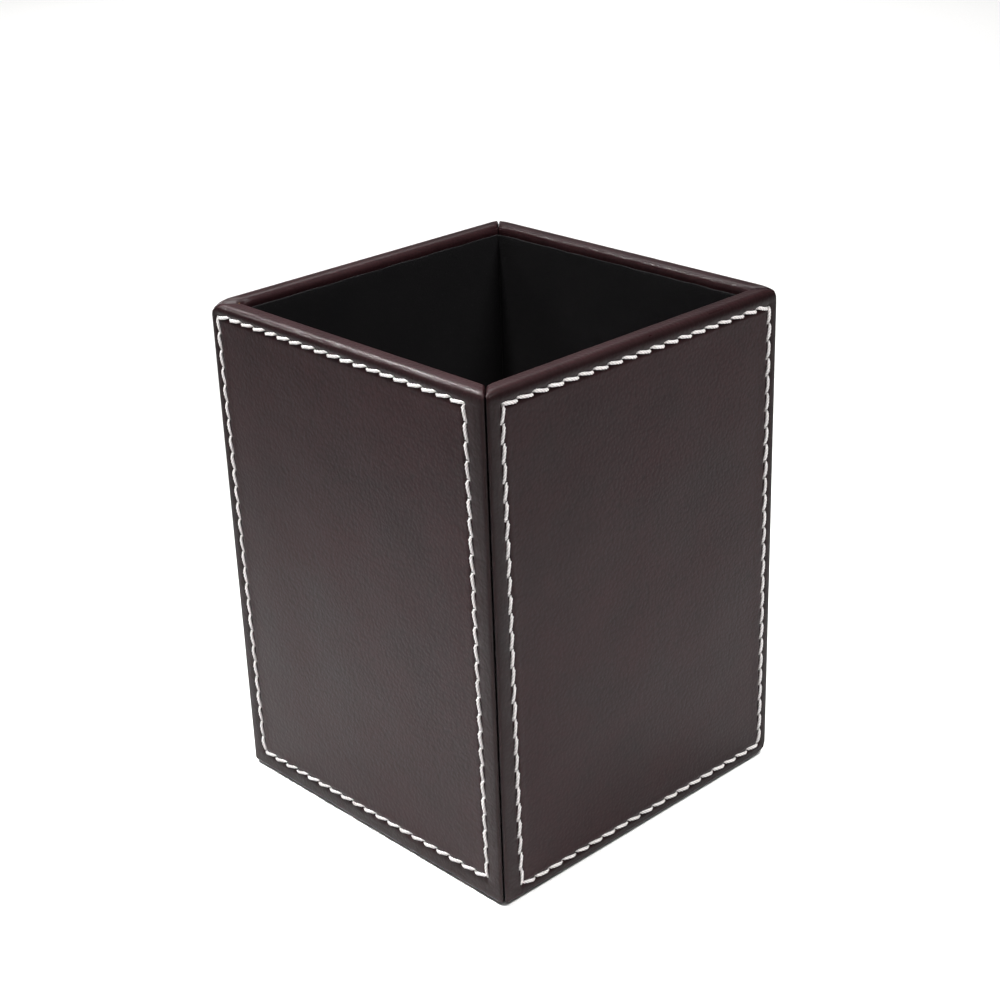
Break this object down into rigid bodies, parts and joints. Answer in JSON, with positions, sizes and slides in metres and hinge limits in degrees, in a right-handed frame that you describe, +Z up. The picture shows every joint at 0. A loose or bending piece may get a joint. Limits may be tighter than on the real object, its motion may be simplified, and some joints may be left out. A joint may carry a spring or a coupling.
{
  "type": "pen holder cup",
  "caption": "Square open-topped desk cup for pens: board walls wrapped in stitched dark brown imitation leather, velvet lining, felt base.",
  "frame": {"origin": "centre of the underside of the base felt, where the cup stands", "axes": "+Z up out of the open top; -Y out of the front wall; +X out of the right wall"},
  "size_m": [0.0838, 0.0838, 0.11],
  "materials": {
    "dark_brown_leather": "semi-gloss, fine grain",
    "off_white_thread": "matt, twisted",
    "backing_foam": "matt",
    "fibreboard": "matt",
    "grey_card": "matt",
    "black_velvet": "napped, matt",
    "black_felt": "matt, fibrous"
  },
  "bodies": {
    "root": {"front_leather_cover": "dark_brown_leather", "front_stitching": "off_white_thread", "front_backing_pad": "backing_foam", "front_wall_board": "fibreboard", "front_levelling_card": "grey_card", "front_wall_lining": "black_velvet", "right_leather_cover": "dark_brown_leather", "right_stitching": "off_white_thread", "right_backing_pad": "backing_foam", "right_wall_board": "fibreboard", "right_levelling_card": "grey_card", "right_wall_lining": "black_velvet", "back_leather_cover": "dark_brown_leather", "back_stitching": "off_white_thread", "back_backing_pad": "backing_foam", "back_wall_board": "fibreboard", "back_levelling_card": "grey_card", "back_wall_lining": "black_velvet", "left_leather_cover": "dark_brown_leather", "left_stitching": "off_white_thread", "left_backing_pad": "backing_foam", "left_wall_board": "fibreboard", "left_levelling_card": "grey_card", "left_wall_lining": "black_velvet", "floor_lining": "black_velvet", "floor_card": "grey_card", "bottom_board": "fibreboard", "base_card": "grey_card", "base_felt": "black_felt"}
  },
  "joints": []
}
